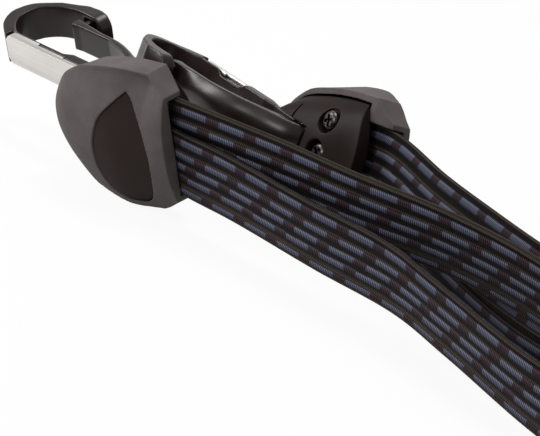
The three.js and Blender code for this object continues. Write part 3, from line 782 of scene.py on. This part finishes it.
def make_cover():
    rings = []
    for x in np.linspace(COVER_NOSE, COVER_MOUTH, COVER_RINGS):
        half = station_at(min(x, COVER_WIDEST))[1] - COVER_MARGIN
        crown = COVER_CROWN - COVER_FALL * smooth((x - FALL_START) / FALL_RUN)
        foot = COVER_FOOT + FOOT_RISE * clamp((x - FOOT_START) / FOOT_RUN)
        arch = [(x, COVER_EDGE + crown * (1 - abs(u) ** COVER_POWER), u * half) for u in ACROSS]
        rings.append([(x, foot, -half), *arch, (x, foot, half)])
    body = loft("cover", rings)
    mouth = [(MOUTH_EDGE - MOUTH_BOW * (z / MOUTH_HALF) ** 2, z) for z in MOUTH_REACH * ACROSS]
    mouth += [(MOUTH_CUT_END, MOUTH_REACH), (MOUTH_CUT_END, -MOUTH_REACH)]
    shape(body, column("mouth", mouth, -MOUTH_CUT_HALF, MOUTH_CUT_HALF))
    shape(body, block("gate_way", -CLEAR, GATE_WAY_END, -CLEAR, CLEAR, -GATE_WAY_HALF, GATE_WAY_HALF))
    for low, high in ((-SEAM_OUTER, -SEAM_INNER), (SEAM_INNER, SEAM_OUTER)):
        shape(body, block("seam", SEAM_START, SEAM_STOP, SEAM_FLOOR, SEAM_TOP, low, high))
    for k in (-1, 0, 1):
        seat = (SCREW_X, SCREW_SEAT + BORE_LENGTH / 2, k * SCREW_PITCH)
        shape(body, rod("seat", seat, "Y", SCREW_SEAT_RADIUS, BORE_LENGTH))
        shape(body, rod("hole", (SCREW_X, 0, k * SCREW_PITCH), "Y", SCREW_HOLE_RADIUS, BORE_LENGTH))
    ease(body, voxel=0.2, passes=5)
    seat_pair(body, "back_cover", "bungee", COVER_FINISH)


# Cross-recess screws, each stopped at its own turn
SHANK_RADIUS = 1.5
SHANK_END = -11.4
SHANK_TAPER = -9.9
TIP_RADIUS = 0.75
HEAD_RADIUS = 2.8
HEAD_HEIGHT = 1.8
HEAD_SIDE = 0.9
SHOULDER_RADIUS, SHOULDER_DROP = 2.5, 0.35
CROWN_RADIUS = 1.9
MIDDLE_RADIUS = 0.2
SCREW_SIDES = 48
RECESS_HALF = 1.75
RECESS_SLOT = 0.42
RECESS_FLOOR = 1.1
RECESS_OVER = 2
FIRST_TURN, NEXT_TURN = 20, 35


def make_screws():
    under = SCREW_SEAT + GAP
    top = under + HEAD_HEIGHT
    profile = [
        (TIP_RADIUS, SHANK_END), (SHANK_RADIUS, SHANK_TAPER), (SHANK_RADIUS, under), (HEAD_RADIUS, under),
        (HEAD_RADIUS, top - HEAD_SIDE), (SHOULDER_RADIUS, top - SHOULDER_DROP),
        (CROWN_RADIUS, top), (MIDDLE_RADIUS, top),
    ]
    angles = np.linspace(0, 2 * math.pi, SCREW_SIDES, False)
    rings = [[(r * math.cos(a), y, r * math.sin(a)) for a in angles] for r, y in profile]
    body = loft("screw", rings)
    for x, z in ((RECESS_HALF, RECESS_SLOT), (RECESS_SLOT, RECESS_HALF)):
        shape(body, block("recess", -x, x, top - RECESS_FLOOR, top + RECESS_OVER, -z, z))
    ease(body, voxel=0.1, passes=2)
    for end in "ab":
        for k in range(3):
            spot = Matrix.Translation((SCREW_X, 0, (k - 1) * SCREW_PITCH))
            place = PLACE[end] @ (spot @ turn("Y", FIRST_TURN + NEXT_TURN * k))
            seat_copy(body.data, place, f"cover_screw_{end}{k + 1}", "bungee", SCREW_FINISH)
    bpy.data.objects.remove(body, do_unlink=True)


# Hook body: its far side, its depth and the end of its nose
HOOK_FAR = -96
HOOK_DEPTH = 26.4
NOSE_END = -69.5
HOOK_FRONT = 1.5
HOOK_HALF = 4.4
HOOK_STRAIGHT = -2.4

# The leg: its root, its top, and the lower edge with a waist and a lug
LEG_ROOT = -35
LEG_TOP = 3.3
LEG_PLACES = [-75.5, -73.5, -64, -60, -48, -44]
LEG_LOWS = [-4.9, -3.25, -3.25, -5.1, -5.1, -4.4]
WAIST_END = -62.5
LUG_START, LUG_END = -59.5, -48.5
LUG_TOP = 4.7
ROOT_STEP = -45.5
ROOT_TOP = 2.9

# The band round the bend is wider below
HOOK_BAND = -5.9
BAND_START, BAND_RUN = 4.5, 13

# Rounded corners of the nose: their radius, how far they run past it, and their reach in depth
CORNER_RADIUS = 4
CORNER_PAST = 6
CORNER_FRONT, CORNER_BACK = 17, 40
CORNER_MIDDLE = 28

# Ways for the steel's flanges: from and to in x, and their top
FLANGE_WAYS = [(STEEL_END - GAP, -72.2, 2.9), (-73, -60.2, 2.0)]
FLANGE_FRONT = -1.2
FLANGE_SIDE, FLANGE_REACH = 3.2, 9

# Pocket in the nose for the gate's nib
POCKET_X = (NOSE_END - 8.4, NOSE_END - 2.6)
POCKET_Y = (NOSE_INNER - 2, NOSE_INNER + 2.6)
POCKET_Z = (-3.4, 2.9)

# Outlines of the bend and the nose, in x from the hook's far side
BEND_OUTSIDE = [(10.2, 0.1), (4.2, 4), (0.8, 8.4), (0, 12.4), (1.6, 17.4), (8, 22.8)]
NOSE_BACK = [(8, -3.6), (13.6, -1.5), (17, -0.2), (22.6, 0), (26.5, -0.4)]
NOSE_INSIDE = [(26.5, 0), (17.6, 0.4), (13.6, -0.1), (9.4, -1.4), (6.4, -3.6), (4.9, -5.5)]
BEND_INSIDE = [(4.9, 16.4), (4.4, 13.6), (4.9, 9.7), (7.6, 6.2), (11.4, LEG_TOP + 0.4), (15, LEG_TOP)]


def hook_low(x, y):
    leg = np.interp(x, LEG_PLACES, LEG_LOWS)
    wide = smooth((y - BAND_START) / BAND_RUN)
    return leg * (1 - wide) + HOOK_BAND * wide


def hook_outline():
    outline = [(x, HOOK_FRONT) for x in (LEG_ROOT, *reversed(LEG_PLACES), STEEL_END - GAP)]
    outline += spline(BEND_OUTSIDE, HOOK_FAR, 0, 40)
    outline += spline(NOSE_BACK, HOOK_FAR, HOOK_DEPTH, 24)[1:]
    outline += spline(NOSE_INSIDE, HOOK_FAR, NOSE_INNER, 30)
    outline += spline(BEND_INSIDE, HOOK_FAR, 0, 40)[1:]
    outline += [(x, LEG_TOP) for x in (*LEG_PLACES[:3], WAIST_END)]
    outline += [(LUG_START, LUG_TOP), (LUG_END, LUG_TOP), (ROOT_STEP, ROOT_TOP), (LEG_ROOT, ROOT_TOP)]
    return outline


def make_hook():
    outline = hook_outline()
    rings = [[(x, y, hook_low(x, y)) for x, y in outline]]
    rings += [[(x, y, z) for x, y in outline] for z in (HOOK_STRAIGHT, HOOK_HALF)]
    body = loft("hook", rings)
    start = NOSE_END - CORNER_RADIUS
    for z, inward in ((HOOK_HALF, -CORNER_RADIUS), (HOOK_BAND, CORNER_RADIUS)):
        sides = sorted((z + inward, z - inward))
        corner = block("corner", start, NOSE_END + CORNER_PAST, CORNER_FRONT, CORNER_BACK, *sides)
        shape(corner, rod("round", (start, CORNER_MIDDLE, z + inward), "Y", CORNER_RADIUS, CLEAR))
        shape(body, corner)
    for low, high in ((-FLANGE_REACH, -FLANGE_SIDE), (FLANGE_SIDE, FLANGE_REACH)):
        for way_start, way_stop, way_top in FLANGE_WAYS:
            shape(body, block("flange_way", way_start, way_stop, FLANGE_FRONT, way_top, low, high))
    shape(body, block("pocket", *POCKET_X, *POCKET_Y, *POCKET_Z))
    ease(body, voxel=0.2, passes=26)
    seat_pair(body, "hook_body", "bungee", NYLON_FINISH)


# Gate lever: crowned, from the knuckle round the pin to the nib in the nose
GATE_TIP = -75.9
GATE_HALF = 4.2
GATE_THICKNESS = 2.8
GATE_CROWN = 1.5
ROOT_LEAN = 0.35
ROOT_START, ROOT_RUN = -48, 14
KNUCKLE_RADIUS = 2.4
KNUCKLE_LENGTH = 8.4
PIN_WAY_RADIUS = 1.3
PIN_WAY_LENGTH = 40
NIB_START, NIB_STOP = 0.5, 2.4
NIB_ROOT, NIB_HEAD = 1, 2
NIB_HALF = 2.8


def make_gate():
    px, py = PIVOT
    bow = GATE_FACE - py
    inner = [(-2.2, 1), (-8, 5), (-13.5, bow - 6.1), (-18.5, bow - 3.3), (-23.5, bow - 1.5), (-30, bow)]
    outer = [
        (-34, bow), (-26, bow - 0.4), (-18.5, bow - 2.5), (-12, bow - 5.6),
        (-6, 6.6), (-1.2, 3.6), (1.6, 0.2),
    ]
    under = spline(inner, px, py, 36)
    under += [(GATE_TIP + 3.4, GATE_FACE), (GATE_TIP + 0.6, GATE_FACE - 0.4), (GATE_TIP, GATE_FACE + 0.4)]
    under += [(GATE_TIP, GATE_FACE + GATE_THICKNESS)]
    face = spline(outer, px, py + GATE_THICKNESS, 36)[:-1]
    rings = []
    for z in np.linspace(-GATE_HALF, GATE_HALF, 17):
        drop = GATE_CROWN * (z / GATE_HALF) ** 2
        lean = ROOT_LEAN * drop
        crown = [(x - lean * clamp((x - ROOT_START) / ROOT_RUN), y - drop) for x, y in face]
        rings.append([(x, y, z) for x, y in under + crown + [(px + 1.6, py + 1)]])
    body = loft("gate", rings)
    shape(body, rod("knuckle", (px, py, 0), "Z", KNUCKLE_RADIUS, KNUCKLE_LENGTH), "UNION")
    nib_x = (GATE_TIP + NIB_START, GATE_TIP + NIB_STOP)
    nib_y = (GATE_FACE + NIB_ROOT, GATE_STOP + NIB_HEAD)
    shape(body, block("nib", *nib_x, *nib_y, -NIB_HALF, NIB_HALF), "UNION")
    shape(body, rod("pin_way", (px, py, 0), "Z", PIN_WAY_RADIUS, PIN_WAY_LENGTH))
    ease(body, voxel=0.2, passes=10)
    seat_pair(body, "gate_lever", "gate_{}", NYLON_FINISH)


# The folded steel strip keeps its solid's shape, with rounded folds
FOLD_WIDTH = 0.28
FLAT_ANGLE = 2
FOLD_ANGLE = 40
SMOOTH_ANGLE = 35


def make_steel():
    for end in "ab":
        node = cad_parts[f"steel_channel_{end}"]
        mesh = node.data.copy()
        mesh.transform(node.matrix_world)
        piece = bpy.data.objects.new(f"steel_channel_{end}_look", mesh)
        bpy.context.collection.objects.link(piece)
        pick(piece)
        bpy.ops.object.mode_set(mode="EDIT")
        bpy.ops.mesh.select_all(action="SELECT")
        bpy.ops.mesh.remove_doubles(threshold=1e-6)
        bpy.ops.mesh.dissolve_limited(angle_limit=math.radians(FLAT_ANGLE))
        bpy.ops.object.mode_set(mode="OBJECT")
        fold = piece.modifiers.new("fold", "BEVEL")
        fold.width = FOLD_WIDTH * MM
        fold.segments = 3
        fold.limit_method = "ANGLE"
        fold.angle_limit = math.radians(FOLD_ANGLE)
        bpy.ops.object.modifier_apply(modifier=fold.name)
        bpy.ops.object.shade_smooth_by_angle(angle=math.radians(SMOOTH_ANGLE))
        mesh.materials.clear()
        mesh.materials.append(STEEL_FINISH)
        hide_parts(f"steel_channel_{end}")
        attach(piece, "bungee")


# The pin and the spring inside keep their solids
def finish_inside():
    for end in "ab":
        for name in ("gate_pin", "gate_spring"):
            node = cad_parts[f"{name}_{end}"]
            node.data.materials.clear()
            node.data.materials.append(STEEL_FINISH)


make_shell()
make_panel()
make_cover()
make_screws()
make_hook()
make_gate()
make_steel()
finish_inside()

# Pale floor that reads white and keeps a faint shadow
FLOOR_SIZE = 8
FLOOR_DROP = 0.0004
FLOOR_GREY = (0.6, 0.6, 0.6, 1)
FLOOR_GLOW = 0.92


def set_floor():
    bpy.ops.object.select_all(action="DESELECT")
    bpy.ops.mesh.primitive_plane_add(size=FLOOR_SIZE, location=(0, 0, -FLOOR_DROP))
    floor = bpy.context.active_object
    floor.name = "floor"
    f = Finish("pale_floor")
    f.set(Base_Color=FLOOR_GREY, Roughness=0.9)
    glow = f.node("ShaderNodeEmission")
    path = f.node("ShaderNodeLightPath")
    seen = f.math("MAXIMUM", path.outputs["Is Camera Ray"], path.outputs["Is Glossy Ray"])
    seen = f.math("MAXIMUM", seen, path.outputs["Is Transmission Ray"])
    blend = f.node("ShaderNodeMixShader")
    f.link(f.math("MULTIPLY", seen, FLOOR_GLOW), blend.inputs[0])
    f.link(f.shader.outputs[0], blend.inputs[1])
    f.link(glow.outputs[0], blend.inputs[2])
    f.link(blend.outputs[0], f.tree.nodes["Material Output"].inputs["Surface"])
    floor.data.materials.append(f.material)


# White to the camera, and half as strong as light
WORLD_LIGHT = 0.5


def set_world():
    world = bpy.data.worlds.new("studio")
    bpy.context.scene.world = world
    world.use_nodes = True
    tree = world.node_tree
    tree.nodes.clear()
    path = tree.nodes.new("ShaderNodeLightPath")
    white = tree.nodes.new("ShaderNodeBackground")
    soft = tree.nodes.new("ShaderNodeBackground")
    soft.inputs["Strength"].default_value = WORLD_LIGHT
    for light in (white, soft):
        light.inputs["Color"].default_value = (1, 1, 1, 1)
    either = tree.nodes.new("ShaderNodeMath")
    either.operation = "MAXIMUM"
    tree.links.new(path.outputs["Is Camera Ray"], either.inputs[0])
    tree.links.new(path.outputs["Is Transmission Ray"], either.inputs[1])
    blend = tree.nodes.new("ShaderNodeMixShader")
    tree.links.new(either.outputs[0], blend.inputs[0])
    tree.links.new(soft.outputs[0], blend.inputs[1])
    tree.links.new(white.outputs[0], blend.inputs[2])
    out = tree.nodes.new("ShaderNodeOutputWorld")
    tree.links.new(blend.outputs[0], out.inputs[0])


# Lamps: name, place, size in metres, power in watts
LAMPS = [
    ("top", (-0.05, 0.10, 0.95), 0.4, 5.6),
    ("left", (-0.95, -0.65, 0.70), 0.55, 11),
    ("low_left", (-1.05, -0.62, 0.22), 0.28, 2.4),
    ("front", (0.02, -1.15, 0.62), 0.36, 5),
    ("back", (-0.70, 0.70, 0.60), 0.6, 1.2),
]
LAMP_AIM = (0.03, 0, 0.02)


def set_lamps():
    for name, spot, size, power in LAMPS:
        data = bpy.data.lights.new(name, "AREA")
        data.energy = power
        data.size = size
        lamp = bpy.data.objects.new(name, data)
        bpy.context.collection.objects.link(lamp)
        lamp.location = spot
        aim = Vector(LAMP_AIM) - Vector(spot)
        lamp.rotation_euler = aim.to_track_quat("-Z", "Y").to_euler()


set_floor()
set_world()
set_lamps()
bpy.context.scene.view_settings.view_transform = "Standard"
